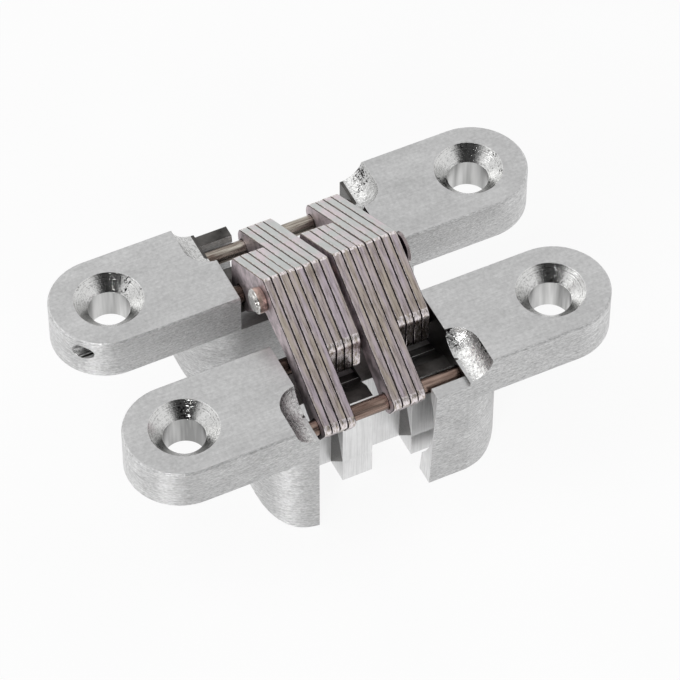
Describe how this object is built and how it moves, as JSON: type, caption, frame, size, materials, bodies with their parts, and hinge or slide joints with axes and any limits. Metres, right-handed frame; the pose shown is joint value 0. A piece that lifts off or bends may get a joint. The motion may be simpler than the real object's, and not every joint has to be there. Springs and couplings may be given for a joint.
{
  "type": "concealed cross hinge",
  "caption": "Concealed hinge: two round-ended castings joined by a crossed pack of steel link plates, open flat as when a door stands fully open.",
  "frame": {"origin": "middle of the gap between the two castings, at the level of the castings' undersides", "axes": "+X along the castings, +Y from the near casting to the far casting, +Z out of the mounting faces"},
  "size_m": [0.07, 0.0392, 0.0289],
  "materials": {
    "satin_zinc_casting": "satin plated zinc alloy",
    "plated_link_steel": "plated steel",
    "bronzed_steel_rod": "oiled bronzed steel",
    "bright_rivet_steel": "bright steel"
  },
  "bodies": {
    "near_half": {"near_body": "satin_zinc_casting", "near_pin": "bronzed_steel_rod"},
    "b_links": {"link_b1_plate_1": "plated_link_steel", "link_b1_plate_2": "plated_link_steel", "link_b1_plate_3": "plated_link_steel", "link_b1_plate_4": "plated_link_steel", "link_b2_plate_1": "plated_link_steel", "link_b2_plate_2": "plated_link_steel", "link_b2_plate_3": "plated_link_steel", "link_b2_plate_4": "plated_link_steel", "far_rod": "bronzed_steel_rod", "centre_rivet": "bright_rivet_steel", "rivet_washer": "bright_rivet_steel"},
    "a_links": {"link_a1_plate_1": "plated_link_steel", "link_a1_plate_2": "plated_link_steel", "link_a1_plate_3": "plated_link_steel", "link_a1_plate_4": "plated_link_steel", "link_a2_plate_1": "plated_link_steel", "link_a2_plate_2": "plated_link_steel", "link_a2_plate_3": "plated_link_steel", "link_a2_plate_4": "plated_link_steel", "near_rod": "bronzed_steel_rod"},
    "far_half": {"far_body": "satin_zinc_casting", "far_pin": "bronzed_steel_rod"}
  },
  "joints": [
    {"name": "near_pivot", "type": "hinge", "parent": "near_half", "child": "b_links", "pos_m": [0, -0.007, 0.01885], "axis": [1, 0, 0], "range_deg": [0, 117.35]},
    {"name": "centre_pivot", "type": "hinge", "parent": "b_links", "child": "a_links", "pos_m": [0, 0, 0.0252], "axis": [1, 0, 0], "range_deg": [-54.71, 0]},
    {"name": "far_pivot", "type": "hinge", "parent": "a_links", "child": "far_half", "pos_m": [0, 0.007, 0.01885], "axis": [1, 0, 0], "range_deg": [0, 117.35]}
  ],
  "couplings": [
    {"joint": "centre_pivot", "follows": "near_pivot", "ratio": -0.46614},
    {"joint": "far_pivot", "follows": "near_pivot", "ratio": 1}
  ]
}
